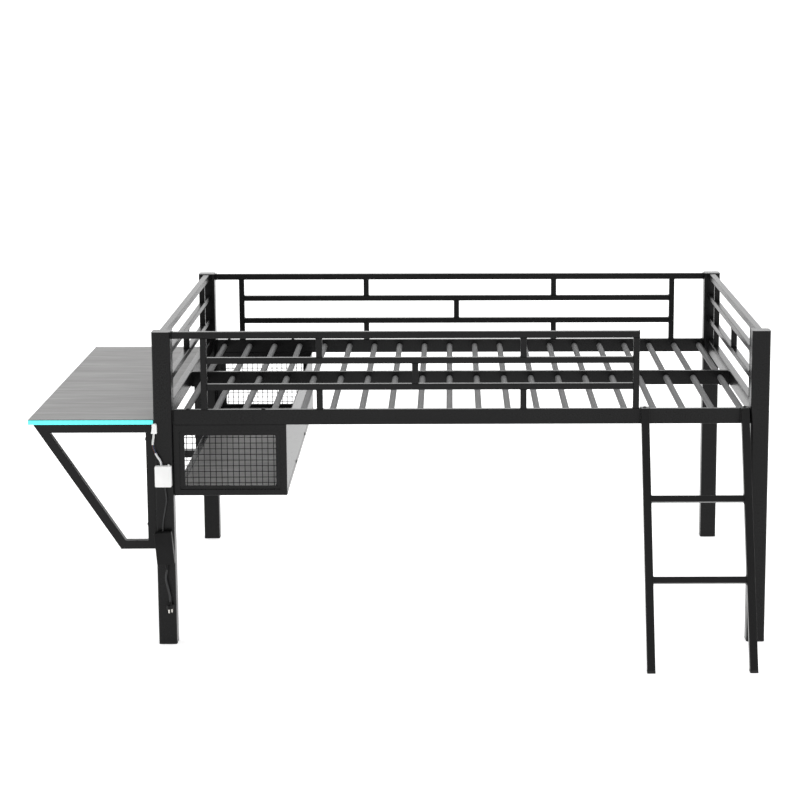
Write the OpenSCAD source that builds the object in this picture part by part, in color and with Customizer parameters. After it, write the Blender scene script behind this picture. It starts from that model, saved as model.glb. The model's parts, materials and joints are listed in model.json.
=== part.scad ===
// Loft bed frame with a side desk, storage box, leaning ladder and edge light.
// Units are millimetres. X runs along the bed, Y to the back, Z up from the floor.
// The origin is on the floor, below the centre of the whole assembly.

/* [Overall size] */
// Length over the outside of the posts
bed_length = 2000; // [1700:10:2400]
// Width over the outside of the posts
bed_width = 1510; // [1250:10:1800]
// Height of the posts with their caps
bed_height = 1040; // [900:5:1300]
// How far the guards stand above the side rails
guard_height = 255; // [220:1:300]

/* [Posts] */
// Side of the square post tube
post_side = 60; // [50:1:76]
// Outside corner radius of the post tube
post_corner = 8; // [3:0.5:10]
// Wall of the post tube
post_wall = 1.5; // [1:0.1:3]
// Thickness of the flat post cap
cap_thick = 2.5; // [2:0.5:5]
// Height of the foot pad under each post
foot_height = 4; // [3:0.5:8]

/* [Rails] */
// Thickness of the side rails and the centre beam
rail_thick = 20; // [16:1:30]
// Height of the side rails and the centre beam
rail_height = 50; // [40:1:60]
// Thickness of the end rails
end_rail_thick = 25; // [20:1:30]
// Wall of all the thin tubes
tube_wall = 1.2; // [0.8:0.1:1.6]
// Corner radius of all the thin tubes
tube_corner = 2; // [1.7:0.1:3]
// Thickness of the welded end plates
plate_thick = 4.5; // [3:0.5:6]

/* [Slats] */
// Number of tube slats in each row
slat_count = 20; // [14:1:24]
// Diameter of a tube slat
slat_diameter = 21; // [16:0.5:25]
// First slat's centre line from the left end rail
slat_left_gap = 49.8; // [30:0.2:80]
// Last slat's centre line from the right end rail
slat_right_gap = 33.6; // [30:0.2:80]

/* [Guards] */
// Side of the square top rails
top_bar = 22; // [16:1:25]
// Side of the square middle rails
mid_bar = 20; // [14:0.5:25]
// Width of the guard uprights
upright_width = 20; // [14:0.5:25]
// Width of the short spacers
spacer_width = 20; // [12:0.5:25]
// Clear gap between the side rail and the lower middle rail
guard_low_gap = 64; // [50:0.5:80]
// Clear gap between the two middle rails
guard_mid_gap = 66.5; // [50:0.5:80]
// Left upright from the left post
guard_left_inset = 94; // [60:1:150]
// Left edge of the ladder entry from the right post
entry_width = 363; // [300:2:600]
// Rear right upright from the right post
rear_right_inset = 113.5; // [60:1:150]

/* [Ladder] */
// Side of the stile tube
stile_side = 26; // [20:0.2:32]
// Distance from the left stile to the entry's left edge
stile_inset = 6; // [4:1:20]
// Width over the outside of the stiles
ladder_width = 352; // [300:1:420]
// How far the feet stand out from the posts
ladder_reach = 352; // [250:2:450]
// Side of the rung tube
rung_side = 21; // [18:1:28]
// Height of the lower rung
low_rung = 268; // [220:1:320]
// Height of the upper rung
high_rung = 509; // [440:1:580]
// Width of a hook plate
hook_width = 30; // [26:1:40]
// Thickness of a hook plate
hook_thick = 3; // [2:0.5:4]

/* [Desk] */
// How far the desk board stands out from the posts
desk_depth = 407; // [300:1:550]
// Height of the desk board's top
desk_height = 752; // [680:1:800]
// Thickness of the desk board
board_thick = 16; // [15:1:25]
// Distance of the board's ends inside the posts' outer faces
board_inset = 14; // [0:1:30]
// Side of the bracket tube
bracket_side = 28; // [25:1:40]
// Height of the bracket below the board
bracket_drop = 416; // [300:2:500]
// Length of the bracket's bottom bar
bracket_foot = 117; // [80:1:200]

/* [Storage box] */
// Length of the storage box along the bed
box_length = 369; // [300:1:500]
// Height of the storage box under the side rail
box_height = 235; // [200:0.5:300]
// Side of the box tubes
box_tube = 20; // [16:1:25]
// Width of the frame that holds the wire mesh
mesh_rim = 15.5; // [10:0.5:20]
// Pitch of the wire mesh
mesh_pitch = 18.9; // [15:0.1:30]
// Diameter of the mesh wire
mesh_wire = 2.2; // [1.6:0.1:3]

/* [Edge light] */
// Thickness of the light strip
strip_thick = 3; // [2:0.5:5]
// Width of the light strip
strip_width = 14; // [8:0.5:15]
// Width of the controller
control_width = 53.5; // [40:0.5:60]
// Height of the controller
control_height = 69.5; // [60:0.5:90]
// Width of the power adapter
adapter_width = 57; // [45:1:60]
// Height of the power adapter
adapter_height = 108; // [90:1:130]

/* [Hidden] */
$fn = 32;

eps = 0.01;
// Half sizes over the posts, and the planes of their inner faces.
half_l = bed_length / 2;
half_w = bed_width / 2;
in_x = half_l - post_side;
in_y = half_w - post_side;
post_cx = half_l - post_side / 2;
post_cy = half_w - post_side / 2;
plug_depth = 22;
plug_clear = 0.4;

// Heights.
post_top = bed_height - cap_thick;
rail_top = post_top - guard_height;
rail_low = rail_top - rail_height;
slat_z = rail_top - rail_height / 2;
low_bar_z = rail_top + guard_low_gap;
high_bar_z = low_bar_z + mid_bar + guard_mid_gap;
top_bar_z = post_top - top_bar;

// Rails stand in the middle of the posts.
rail_out = post_cy + rail_thick / 2;
rail_in = post_cy - rail_thick / 2;
end_in = post_cx - end_rail_thick / 2;
beam_half = rail_thick / 2;
beam_sheet = 3;
beam_ledge = 35;
rail_bolt_inset = 12;

// Slats.
slat_first = -end_in + slat_left_gap;
slat_step = (2 * end_in - slat_left_gap - slat_right_gap) / (slat_count - 1);
slat_len = rail_in - beam_half;

// Guards.  Uprights and spacers are set in from the posts or from the middle.
guard_l = -in_x + guard_left_inset;
guard_r = in_x - entry_width;
rear_l = -in_x + guard_left_inset - 2.5;
rear_r = in_x - rear_right_inset;
upper_gap = top_bar_z - high_bar_z - mid_bar;
panel_up = in_y - 164;
panel_mid = -28;
front_mid = (guard_l + guard_r) / 2;
front_spacers = [front_mid - 327, front_mid + 335];
front_mid_spacer = front_mid - 16.5;
rear_spacers = [-360, 361];
rear_mid_spacer = -13;
panel_low_z = low_bar_z + 1.5;
panel_high_z = high_bar_z + 2.5;

// Ladder.  It leans by one slope from its feet to the side rail.
lad_l = guard_r + stile_inset;
lad_r = lad_l + ladder_width - stile_side;
foot_y = -half_w - ladder_reach;
hook_front = -rail_out - hook_thick;
stile_top = rail_top + hook_thick;
lean = (hook_front - 11.5 - foot_y) / stile_top;
lean_deep = stile_side * sqrt(1 + lean * lean);
lean_deg = atan(lean);
pad_height = 8;
hook_lip = 9;
hook_rise = 3;

// Desk.
desk_end = -half_l - desk_depth;
board_low = desk_height - board_thick;
board_y = half_w - board_inset;
bracket_low = board_low - bracket_drop;
bracket_end = desk_end + 15;
bracket_x = -half_l - bracket_foot;
brace_slope = (bracket_x - bracket_end) / bracket_drop;
brace_skew = sqrt(1 + brace_slope * brace_slope);
brace_wide = bracket_side * brace_skew;
desk_bolt_low = bracket_low + 81;
desk_bolt_high = board_low - 51;

// Storage box, hung under the two side rails.
box_l = -in_x;
box_r = box_l + box_length;
box_z = rail_low - box_height;
box_y = rail_out - 1;
mesh_l = box_l + box_tube + mesh_rim;
mesh_r = box_r - box_tube - mesh_rim;
mesh_low = box_z + box_tube + mesh_rim - 4;
mesh_high = rail_low - box_tube - mesh_rim;
rim_deep = 12;
rim_corner = 6;
ledge_wide = 16;
ledge_thick = 2;
shelf_thick = 16;
shelf_play = 1;
side_sheet = 3;
side_gap = 2;
side_bolts = [-290, 192];
hanger_bolts = [box_l + 50, box_r - 74];

// Edge light parts on the front left post.
face_y = -half_w;
pad_thick = 3;
control_y = face_y - pad_thick;
strip_y = -board_y - strip_thick;
strip_short = 3;
lead_x = -post_cx;
control_top = 604;
control_low = control_top - control_height;
adapter_z = 331.5;
adapter_deep = 30;
adapter_tilt = -4.7;
gland_height = 20;
blade_length = 13;
lead_y = control_y - 10;

// The whole box without loose cords runs from the desk's edge to the right
// posts, and from the ladder's feet to the rear posts.
shift_x = -(desk_end + half_l) / 2;
shift_y = -(foot_y + half_w) / 2;

steel = [0.17, 0.17, 0.18];
slat_grey = [0.35, 0.35, 0.36];
wood = [0.55, 0.54, 0.53];
white = [0.93, 0.93, 0.93];
rubber = [0.1, 0.1, 0.1];
zinc = [0.6, 0.6, 0.62];

module placed() {
    translate([shift_x, shift_y, 0])
        children();
}

module mirror_y() {
    children();
    mirror([0, 1, 0])
        children();
}

module mirror_x() {
    children();
    mirror([1, 0, 0])
        children();
}

// A flat rounded rectangle from the origin, a by b.
module rounded(a, b, r) {
    translate([r, 0])
        square([a - 2 * r, b]);
    translate([0, r])
        square([a, b - 2 * r]);
    for (x = [r, a - r], y = [r, b - r])
        translate([x, y])
            circle(r);
}

// The same rectangle as a tube's ring.
module ring(a, b, r, wall) {
    difference() {
        rounded(a, b, r);
        translate([wall, wall])
            rounded(a - 2 * wall, b - 2 * wall, r - wall);
    }
}

// Square tubes along each axis, open at both ends, from their lowest corner.
module tube_z(len, a, b, r, wall) {
    linear_extrude(len)
        ring(a, b, r, wall);
}

module tube_x(len, b, c) {
    rotate([90, 0, 90])
        linear_extrude(len)
            ring(b, c, tube_corner, tube_wall);
}

module tube_y(len, a, c) {
    translate([0, len, 0])
        rotate([90, 0, 0])
            linear_extrude(len)
                ring(a, c, tube_corner, tube_wall);
}

// ---------------------------------------------------------------- posts
module post(x, y) {
    placed()
        color(steel)
            translate([x - post_side / 2, y - post_side / 2, foot_height])
                tube_z(post_top - foot_height, post_side, post_side, post_corner, post_wall);
}

module post_front_left() {
    post(-post_cx, -post_cy);
}

module post_front_right() {
    post(post_cx, -post_cy);
}

module post_rear_left() {
    post(-post_cx, post_cy);
}

module post_rear_right() {
    post(post_cx, post_cy);
}

module post_caps() {
    placed()
        color(steel)
            for (x = [-post_cx, post_cx], y = [-post_cy, post_cy])
                translate([x - post_side / 2, y - post_side / 2, post_top])
                    linear_extrude(cap_thick)
                        rounded(post_side, post_side, post_corner);
}

// Plastic pads with a plug that goes up inside the tube.
module post_feet() {
    plug = post_side - 2 * post_wall - plug_clear;
    placed()
        color(rubber)
            for (x = [-post_cx, post_cx], y = [-post_cy, post_cy]) {
                translate([x - post_side / 2, y - post_side / 2, 0])
                    linear_extrude(foot_height)
                        rounded(post_side, post_side, post_corner);
                translate([x - plug / 2, y - plug / 2, 0])
                    linear_extrude(foot_height + plug_depth)
                        rounded(plug, plug, post_corner - post_wall);
            }
}

// ---------------------------------------------------------------- rails
module side_rail(y) {
    placed()
        color(steel)
            translate([-in_x + plate_thick, y, rail_low])
                tube_x(2 * (in_x - plate_thick), rail_thick, rail_height);
}

module side_rail_front() {
    side_rail(-rail_out);
}

module side_rail_rear() {
    side_rail(rail_in);
}

// Plates that carry the side rails and the guards' top rails on the posts.
module rail_end_plates() {
    placed()
        color(steel)
            mirror_y() {
                for (x = [-in_x, in_x - plate_thick])
                    translate([x, -rail_out, rail_low])
                        cube([plate_thick, rail_thick, rail_height]);
                translate([-in_x, -rail_out, top_bar_z])
                    cube([plate_thick, top_bar, top_bar]);
            }
    placed()
        color(steel)
            translate([in_x - plate_thick, rail_out - top_bar, top_bar_z])
                cube([plate_thick, top_bar, top_bar]);
}

module end_rail(x) {
    placed()
        color(steel)
            translate([x - end_rail_thick / 2, -in_y, rail_low])
                tube_y(2 * in_y, end_rail_thick, rail_height);
}

module end_rail_left() {
    end_rail(-post_cx);
}

module end_rail_right() {
    end_rail(post_cx);
}

module panel_top(x) {
    placed()
        color(steel)
            translate([x - top_bar / 2, -in_y, top_bar_z])
                tube_y(2 * in_y, top_bar, top_bar);
}

module panel_mids(x) {
    placed()
        color(steel)
            for (z = [panel_low_z, panel_high_z])
                translate([x - mid_bar / 2, -in_y, z])
                    tube_y(2 * in_y, mid_bar, mid_bar);
}

// Short uprights between the panel's rails, and one spacer in the middle gap.
module panel_uprights(x) {
    low = panel_low_z;
    high = panel_high_z;
    placed()
        color(steel) {
            for (y = [-panel_up, panel_up]) {
                translate([x - mid_bar / 2, y - mid_bar / 2, rail_top])
                    tube_z(low - rail_top, mid_bar, mid_bar, tube_corner, tube_wall);
                translate([x - mid_bar / 2, y - mid_bar / 2, low + mid_bar])
                    tube_z(high - low - mid_bar, mid_bar, mid_bar, tube_corner, tube_wall);
                translate([x - mid_bar / 2, y - mid_bar / 2, high + mid_bar])
                    tube_z(top_bar_z - high - mid_bar, mid_bar, mid_bar, tube_corner, tube_wall);
            }
            translate([x - mid_bar / 2, panel_mid, low + mid_bar])
                tube_z(high - low - mid_bar, mid_bar, mid_bar, tube_corner, tube_wall);
        }
}

module panel_left_top_rail() {
    panel_top(-post_cx);
}

module panel_left_mid_rails() {
    panel_mids(-post_cx);
}

module panel_left_uprights() {
    panel_uprights(-post_cx);
}

module panel_right_top_rail() {
    panel_top(post_cx);
}

module panel_right_mid_rails() {
    panel_mids(post_cx);
}

module panel_right_uprights() {
    panel_uprights(post_cx);
}

// The beam hangs in a bracket on each end rail.
module centre_beam() {
    placed()
        color(steel)
            translate([beam_sheet - end_in, -beam_half, rail_low])
                tube_x(2 * (end_in - beam_sheet), rail_thick, rail_height);
}

module beam_brackets() {
    placed()
        color(steel)
            mirror_x()
                translate([-end_in, 0, 0]) {
                    translate([0, -beam_half - beam_sheet, rail_low - beam_sheet])
                        cube([beam_sheet, rail_thick + 2 * beam_sheet, rail_height + 1]);
                    translate([0, -beam_half - beam_sheet, rail_low - beam_sheet])
                        cube([beam_ledge, rail_thick + 2 * beam_sheet, beam_sheet]);
                }
}

// ---------------------------------------------------------------- slats
module slat_row(y) {
    placed()
        color(slat_grey)
            for (k = [0 : slat_count - 1])
                translate([slat_first + k * slat_step, y + slat_len, slat_z])
                    rotate([90, 0, 0])
                        difference() {
                            cylinder(h = slat_len, d = slat_diameter);
                            translate([0, 0, -1])
                                cylinder(h = slat_len + 2, d = slat_diameter - 2 * tube_wall);
                        }
}

module slats_front() {
    slat_row(-rail_in);
}

module slats_rear() {
    slat_row(beam_half);
}

// ---------------------------------------------------------------- guards
// Each guard is flush with the outer face of its side rail.
module guard_top(y, x0, x1) {
    placed()
        color(steel)
            translate([x0, y, top_bar_z])
                tube_x(x1 - x0, top_bar, top_bar);
}

module guard_mids(y, x0, x1) {
    placed()
        color(steel)
            for (z = [low_bar_z, high_bar_z])
                translate([x0 + upright_width, y, z])
                    tube_x(x1 - x0 - 2 * upright_width, mid_bar, mid_bar);
}

module short_tube(x, y, z, w, len) {
    translate([x, y, z])
        tube_z(len, w, mid_bar, tube_corner, tube_wall);
}

module guard_front_top_rail() {
    guard_top(-rail_out, -in_x + plate_thick, guard_r);
}

module guard_front_mid_rails() {
    guard_mids(-rail_out, guard_l, guard_r);
}

module guard_front_uprights() {
    placed()
        color(steel)
            for (x = [guard_l, guard_r - upright_width])
                short_tube(x, -rail_out, rail_top, upright_width, top_bar_z - rail_top);
}

module guard_front_spacers() {
    placed()
        color(steel) {
            for (x = front_spacers) {
                short_tube(x - spacer_width / 2, -rail_out, rail_top, spacer_width, guard_low_gap);
                short_tube(x - spacer_width / 2, -rail_out, high_bar_z + mid_bar, spacer_width, upper_gap);
            }
            translate([front_mid_spacer - spacer_width / 2, 0, 0])
                short_tube(0, -rail_out, low_bar_z + mid_bar, spacer_width, guard_mid_gap);
        }
}

module guard_rear_top_rail() {
    guard_top(rail_out - top_bar, -in_x + plate_thick, in_x - plate_thick);
}

module guard_rear_mid_rails() {
    guard_mids(rail_out - mid_bar, rear_l, rear_r);
}

module guard_rear_uprights() {
    placed()
        color(steel)
            for (x = [rear_l, rear_r - upright_width])
                short_tube(x, rail_out - mid_bar, rail_top, upright_width, top_bar_z - rail_top);
}

module guard_rear_spacers() {
    y = rail_out - mid_bar;
    placed()
        color(steel) {
            for (x = rear_spacers) {
                short_tube(x - spacer_width / 2, y, rail_top, spacer_width, guard_low_gap);
                short_tube(x - spacer_width / 2, y, high_bar_z + mid_bar, spacer_width, upper_gap);
            }
            translate([rear_mid_spacer - spacer_width / 2, 0, 0])
                short_tube(0, y, low_bar_z + mid_bar, spacer_width, guard_mid_gap);
        }
}

// ---------------------------------------------------------------- ladder
// A side profile in the plane of Y and Z, extruded along X.
module side_profile(x, width) {
    translate([x, 0, 0])
        rotate([90, 0, 90])
            linear_extrude(width)
                children();
}

module stile_shape(inset) {
    back = foot_y + lean_deep - inset;
    front = foot_y + inset;
    turn = (hook_front - inset - back) / lean;
    polygon([
        [front + lean * pad_height, pad_height],
        [back + lean * pad_height, pad_height],
        [hook_front - inset, turn],
        [hook_front - inset, stile_top - inset],
        [front + lean * (stile_top - inset), stile_top - inset]
    ]);
}

module stile(x) {
    difference() {
        side_profile(x, stile_side)
            stile_shape(0);
        side_profile(x + tube_wall, stile_side - 2 * tube_wall)
            stile_shape(tube_wall);
    }
}

module ladder_stiles() {
    placed()
        color(steel)
            for (x = [lad_l, lad_r])
                stile(x);
}

module rung(z) {
    y = foot_y + lean * z + lean_deep / 2;
    translate([lad_l + stile_side, y, z])
        rotate([-lean_deg, 0, 0])
            translate([0, -rung_side / 2, -rung_side / 2])
                tube_x(ladder_width - 2 * stile_side, rung_side, rung_side);
}

module ladder_rungs() {
    placed()
        color(steel)
            for (z = [low_rung, high_rung])
                rung(z);
}

// A bent plate over the side rail: front plate, top plate and a short lip.
module hook(x) {
    back = -rail_in;
    side_profile(x, hook_width)
        polygon([
            [hook_front, rail_low + hook_rise],
            [-rail_out, rail_low + hook_rise],
            [-rail_out, rail_top],
            [back, rail_top],
            [back, rail_top - hook_lip],
            [back + hook_thick, rail_top - hook_lip],
            [back + hook_thick, rail_top + hook_thick],
            [hook_front, rail_top + hook_thick]
        ]);
}

module ladder_hooks() {
    inset = (hook_width - stile_side) / 2;
    placed()
        color(steel)
            for (x = [lad_l, lad_r])
                hook(x - inset);
}

module ladder_rivets() {
    placed()
        color(steel)
            for (x = [lad_l, lad_r])
                translate([x + stile_side / 2, -post_cy, stile_top])
                    cylinder(h = 2.5, d1 = 12, d2 = 8);
}

module ladder_feet() {
    placed()
        color(rubber)
            for (x = [lad_l, lad_r])
                side_profile(x, stile_side)
                    polygon([
                        [foot_y, 0],
                        [foot_y + lean_deep, 0],
                        [foot_y + lean_deep + lean * pad_height, pad_height],
                        [foot_y + lean * pad_height, pad_height]
                    ]);
}

// ---------------------------------------------------------------- desk
module desk_board() {
    placed()
        color(wood)
            translate([desk_end, -board_y, board_low])
                cube([desk_depth, 2 * board_y, board_thick]);
}

// The bracket's outline, or its hollow when it is set in by c.  The top bar is
// mitred along the slanting brace.
module bracket_outline(c) {
    t = bracket_side;
    left = brace_skew * c;
    polygon([
        [bracket_end + brace_slope * c + left, board_low - c],
        [-half_l - c, board_low - c],
        [-half_l - c, board_low - t + c],
        [bracket_end + brace_slope * (t - c) + left, board_low - t + c]
    ]);
    translate([-half_l - t + c, bracket_low + c])
        square([t - 2 * c, bracket_drop - 2 * c]);
    translate([bracket_x + c, bracket_low + c])
        square([bracket_foot - 2 * c, t - 2 * c]);
    polygon([
        [bracket_end + brace_slope * c + left, board_low - c],
        [bracket_end + brace_wide + brace_slope * c - left, board_low - c],
        [bracket_x + brace_wide - brace_slope * c - left, bracket_low + c],
        [bracket_x - brace_slope * c + left, bracket_low + c]
    ]);
}

module bracket_bars(c) {
    translate([0, bracket_side - c, 0])
        rotate([90, 0, 0])
            linear_extrude(bracket_side - 2 * c)
                bracket_outline(c);
}

module desk_bracket() {
    difference() {
        bracket_bars(0);
        bracket_bars(post_wall);
    }
}

module desk_bracket_front() {
    placed()
        color(steel)
            translate([0, -post_cy - bracket_side / 2, 0])
                desk_bracket();
}

module desk_bracket_rear() {
    placed()
        color(steel)
            translate([0, post_cy - bracket_side / 2, 0])
                desk_bracket();
}

module light_strip() {
    placed()
        color([0.4, 1, 0.97])
            translate([desk_end, strip_y, board_low])
                cube([desk_depth - strip_short, strip_thick, strip_width]);
}

// ---------------------------------------------------------------- box
// One end frame of the box: two uprights, a top and a bottom tube.
module box_frame(y) {
    c = tube_wall;
    t = box_tube;
    placed()
        color(steel)
            translate([0, y, 0])
                difference() {
                    translate([box_l, 0, box_z])
                        cube([box_length, t, box_height]);
                    translate([box_l + t, -1, box_z + t])
                        cube([box_length - 2 * t, t + 2, box_height - 2 * t]);
                    difference() {
                        translate([box_l + c, c, box_z + c])
                            cube([box_length - 2 * c, t - 2 * c, box_height - 2 * c]);
                        translate([box_l + t - c, 0, box_z + t - c])
                            cube([box_length - 2 * t + 2 * c, t, box_height - 2 * t + 2 * c]);
                    }
                }
}

module box_front_frame() {
    box_frame(-box_y);
}

module box_rear_frame() {
    box_frame(box_y - box_tube);
}

// A rim with rounded inner corners, and the grid of wires inside it.
module box_mesh(y) {
    wide = mesh_r - mesh_l;
    high = mesh_high - mesh_low;
    nx = floor(wide / mesh_pitch);
    nz = floor(high / mesh_pitch);
    x0 = mesh_l + (wide - nx * mesh_pitch) / 2;
    z0 = mesh_low + (high - nz * mesh_pitch) / 2;
    placed()
        color(steel) {
            translate([0, y + rim_deep / 2, 0])
                rotate([90, 0, 0])
                    linear_extrude(rim_deep)
                        difference() {
                            translate([box_l + box_tube, box_z + box_tube])
                                square([box_length - 2 * box_tube, box_height - 2 * box_tube]);
                            translate([mesh_l, mesh_low])
                                rounded(wide, high, rim_corner);
                        }
            translate([0, y + mesh_wire / 2, 0])
                rotate([90, 0, 0])
                    linear_extrude(mesh_wire)
                        union() {
                            for (i = [0 : nx])
                                translate([x0 + i * mesh_pitch - mesh_wire / 2, mesh_low - 1])
                                    square([mesh_wire, high + 2]);
                            for (j = [0 : nz])
                                translate([mesh_l - 1, z0 + j * mesh_pitch - mesh_wire / 2])
                                    square([wide + 2, mesh_wire]);
                        }
        }
}

module box_front_mesh() {
    box_mesh(-box_y + box_tube / 2);
}

module box_rear_mesh() {
    box_mesh(box_y - box_tube / 2);
}

// Two tubes join the end frames and carry the shelf on welded ledges.
module box_bottom_tubes() {
    inner = box_y - box_tube;
    placed()
        color(steel) {
            for (x = [box_l, box_r - box_tube])
                translate([x, -inner, box_z])
                    tube_y(2 * inner, box_tube, box_tube - ledge_thick);
            translate([box_l + box_tube - eps, -inner, box_z])
                cube([ledge_wide, 2 * inner, ledge_thick]);
            translate([box_r - box_tube - ledge_wide + eps, -inner, box_z])
                cube([ledge_wide, 2 * inner, ledge_thick]);
        }
}

module box_shelf_board() {
    inset = box_tube + shelf_play;
    inner = box_y - inset;
    placed()
        color(wood)
            translate([box_l + inset, -inner, box_z + ledge_thick])
                cube([box_length - 2 * inset, 2 * inner, shelf_thick]);
}

module box_side_panel() {
    inner = box_y - box_tube;
    placed()
        color(steel)
            translate([box_r - side_sheet, -inner, box_z + box_tube + side_gap])
                cube([side_sheet, 2 * inner, box_height - box_tube - side_gap]);
}

module box_bolts() {
    placed()
        color(steel)
            for (y = side_bolts)
                translate([box_r, y, box_z + box_tube - 1])
                    rotate([0, 90, 0])
                        cylinder(h = 4, d1 = 12, d2 = 9);
}

// ---------------------------------------------------------------- light
// The connector wraps from the strip's end to the front of the post.
module light_connector() {
    x = -half_l;
    z = board_low;
    placed()
        color(white) {
            translate([0, face_y - 1, 0])
                rotate([90, 0, 0])
                    linear_extrude(12)
                        polygon([
                            [x - 6.5, z - 26],
                            [x + 12, z - 26],
                            [x + 12, z + 2],
                            [x + 8, z + 6],
                            [x + 2, z + 6],
                            [x - 2, z + 2]
                        ]);
            translate([x - 5, face_y - 2, z - 5])
                cube([5, strip_y - face_y + 2, 8]);
        }
}

// A smooth round tube through a list of hand-set points.
function unit(v) = v / norm(v);
function heading(p, i) = unit(p[min(i + 1, len(p) - 1)] - p[max(i - 1, 0)]);
function across(t) = unit(cross(t, [0, 1, 0]));

module cord_tube(p, d, sides) {
    n = len(p);
    ring_points = [
        for (i = [0 : n - 1])
            let (t = heading(p, i), a = across(t), b = cross(t, a))
                for (k = [0 : sides - 1])
                    p[i] + d / 2 * (cos(360 * k / sides) * a + sin(360 * k / sides) * b)
    ];
    walls = [
        for (i = [0 : n - 2], k = [0 : sides - 1])
            let (q = (k + 1) % sides)
                each [
                    [i * sides + k, i * sides + q, (i + 1) * sides + q],
                    [i * sides + k, (i + 1) * sides + q, (i + 1) * sides + k]
                ]
    ];
    low_end = [for (k = [sides - 1 : -1 : 0]) k];
    high_end = [for (k = [0 : sides - 1]) (n - 1) * sides + k];
    polyhedron(concat([for (q = ring_points) q]), concat([low_end], walls, [high_end]));
}

// Flat four-core lead, from the connector down to the controller.
module light_lead() {
    x = lead_x;
    y = lead_y;
    route = [
        [x - 28, y + 6, board_low - 26],
        [x - 29, y + 5, board_low - 37],
        [x - 31, y + 3, board_low - 50],
        [x - 32, y + 2, board_low - 61],
        [x - 31, y + 1, board_low - 72],
        [x - 27, y, board_low - 83],
        [x - 22, y, board_low - 93],
        [x - 17, y, board_low - 102],
        [x - 11, y, board_low - 111],
        [x - 7, y, board_low - 120],
        [x - 5, y, control_top]
    ];
    placed()
        color(white)
            cord_tube(route, 6, 10);
}

module light_controller() {
    w = control_width;
    h = control_height;
    placed()
        color(white) {
            translate([lead_x - w / 2, control_y, control_low])
                rotate([90, 0, 0])
                    linear_extrude(20)
                        rounded(w, h, 4);
            translate([lead_x + w / 2 - 9, control_y - 10, control_top - 1])
                cylinder(h = 6, d = 7);
        }
}

// Thin round lead from the controller to the adapter.
module controller_lead() {
    x = lead_x;
    y = lead_y;
    z = control_low;
    route = [
        [x + 5, y, z],
        [x + 5.5, y, z - 12],
        [x + 7, y, z - 26],
        [x + 8, y, z - 40],
        [x + 7, y, z - 54],
        [x + 4, y, z - 70],
        [x + 1, y, z - 86],
        [x - 2, y, z - 102],
        [x - 4.5, y, z - 118],
        [x - 5.5, y - 1, z - 132],
        [x - 5.6, y - 2, adapter_z + adapter_height / 2 - 0.4]
    ];
    placed()
        color(rubber)
            cord_tube(route, 4.5, 10);
}

module adapter_place() {
    translate([lead_x - 1, control_y, adapter_z])
        rotate([0, adapter_tilt, 0])
            children();
}

module power_adapter() {
    w = adapter_width;
    h = adapter_height;
    placed()
        color(rubber)
            adapter_place()
                translate([-w / 2, 0, -h / 2])
                    rotate([90, 0, 0])
                        linear_extrude(adapter_deep)
                            rounded(w, h, 4);
}

module adapter_gland() {
    placed()
        color(rubber)
            adapter_place()
                translate([0, -adapter_deep / 2, -adapter_height / 2 - gland_height])
                    cylinder(h = gland_height, d1 = 7.5, d2 = 12);
}

// Adhesive pads between the post and the two boxes.
module mounting_pads() {
    placed()
        color(white) {
            translate([lead_x - 18, control_y, control_low + 12])
                cube([36, pad_thick, control_height - 24]);
            translate([lead_x - 18, control_y, adapter_z - 40])
                cube([36, pad_thick, 80]);
        }
}

// Short mains lead that hangs from the adapter down to its plug.
module mains_lead() {
    x = lead_x;
    y = control_y - 15;
    route = [
        [x + 5.1, y, 257.5],
        [x + 3.5, y, 250],
        [x + 1, y, 239],
        [x + 0.5, y, 226],
        [x + 2.5, y, 212],
        [x + 6, y, 197],
        [x + 9.5, y, 181],
        [x + 12, y, 165],
        [x + 12.5, y, 150]
    ];
    placed()
        color(rubber)
            cord_tube(route, 6.5, 12);
}

module plug_place() {
    translate([lead_x + 12.5, control_y - 15, 125])
        rotate([0, 0, 48])
            children();
}

module plug_body() {
    placed()
        color(rubber)
            plug_place() {
                translate([-12, -7, 0])
                    linear_extrude(14)
                        rounded(24, 14, 4);
                translate([0, 0, 14 - eps])
                    cylinder(h = 11, d1 = 13, d2 = 8);
            }
}

module plug_blades() {
    placed()
        color(zinc)
            plug_place()
                for (x = [-6.35, 6.35])
                    translate([x - 0.75, -3.2, -blade_length])
                        cube([1.5, 6.4, blade_length]);
}

// ---------------------------------------------------------------- bolts
// Low domed head on a flat face, pointing along -X or +X.
module bolt_x(x, y, z, way, d) {
    translate([x, y, z])
        rotate([0, 90 * way, 0]) {
            cylinder(h = 1.2, d = d);
            translate([0, 0, 1.2])
                cylinder(h = 2, d1 = d - 2, d2 = d / 2);
        }
}

// The rails' bolts come through the posts from outside, clear of the board.
module bed_bolts() {
    placed()
        color(zinc)
            mirror_y() {
                for (z = [rail_low + rail_bolt_inset, rail_top - rail_bolt_inset])
                    bolt_x(half_l, -post_cy, z, 1, 13);
                bolt_x(-half_l, -post_cy, rail_top - rail_bolt_inset, -1, 13);
            }
}

// Heads on the inner side of each bracket's upright.
module desk_bolts() {
    placed()
        color(steel)
            mirror_y()
                for (z = [desk_bolt_low, desk_bolt_high])
                    bolt_x(-half_l - bracket_side, -post_cy, z, -1, 14);
}

module box_hanger_bolts() {
    placed()
        color(steel)
            mirror_y()
                for (x = hanger_bolts)
                    translate([x, -post_cy, rail_top]) {
                        cylinder(h = 1.2, d = 14);
                        translate([0, 0, 1.2])
                            cylinder(h = 2.3, d1 = 12, d2 = 7);
                    }
}

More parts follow.
